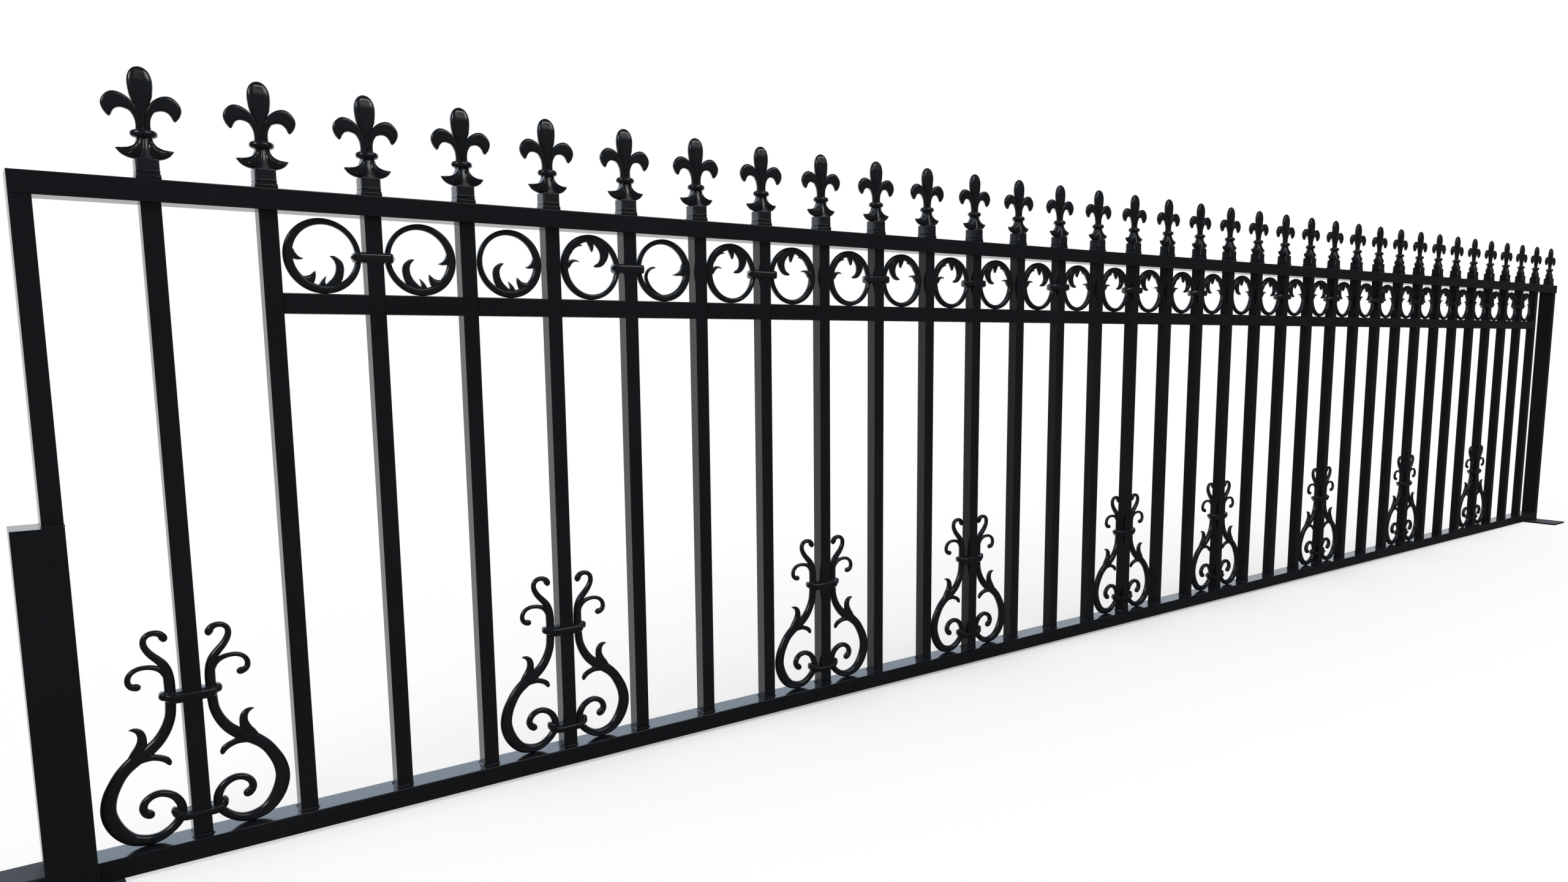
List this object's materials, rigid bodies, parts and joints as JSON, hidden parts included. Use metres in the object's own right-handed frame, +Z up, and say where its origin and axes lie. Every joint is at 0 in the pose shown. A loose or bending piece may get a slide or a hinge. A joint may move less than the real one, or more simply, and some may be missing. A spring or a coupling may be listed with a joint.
{
  "type": "ornamental metal fence panel",
  "caption": "Long low ornamental fence panel of square pickets between rails, with spear-like cast finials, a band of cast rings under the top rail and cast scrolls at the bottom.",
  "frame": {"origin": "centre of the underside of the left base plate, on the ground line", "axes": "+X along the panel from the short post towards the end stile, +Z up, -Y out of the front face that the picture shows"},
  "size_m": [5.4596, 0.195, 1.109],
  "materials": {
    "tube_paint": "gloss black paint on welded steel tube",
    "casting_paint": "gloss black paint on sand-cast ornaments",
    "plate_paint": "black paint on flat steel plate"
  },
  "bodies": {
    "root": {"bottom_rail": "tube_paint", "finials_01": "casting_paint", "finials_02": "casting_paint", "finials_03": "casting_paint", "finials_04": "casting_paint", "finials_05": "casting_paint", "finials_06": "casting_paint", "finials_07": "casting_paint", "left_base_plate": "plate_paint", "left_post": "tube_paint", "left_stile": "tube_paint", "lyre_01": "casting_paint", "lyre_02": "casting_paint", "lyre_03": "casting_paint", "lyre_04": "casting_paint", "lyre_05": "casting_paint", "lyre_06": "casting_paint", "lyre_07": "casting_paint", "lyre_08": "casting_paint", "lyre_09": "casting_paint", "pickets_01": "tube_paint", "pickets_02": "tube_paint", "pickets_03": "tube_paint", "pickets_04": "tube_paint", "pickets_05": "tube_paint", "pickets_06": "tube_paint", "pickets_07": "tube_paint", "right_base_plate": "plate_paint", "right_stile": "tube_paint", "ring_collars": "casting_paint", "ring_rail": "tube_paint", "rings_01": "casting_paint", "rings_02": "casting_paint", "rings_03": "casting_paint", "rings_04": "casting_paint", "rings_05": "casting_paint", "rings_06": "casting_paint", "rings_07": "casting_paint", "rings_08": "casting_paint", "tail_rail": "tube_paint", "top_rail": "tube_paint"}
  },
  "joints": []
}
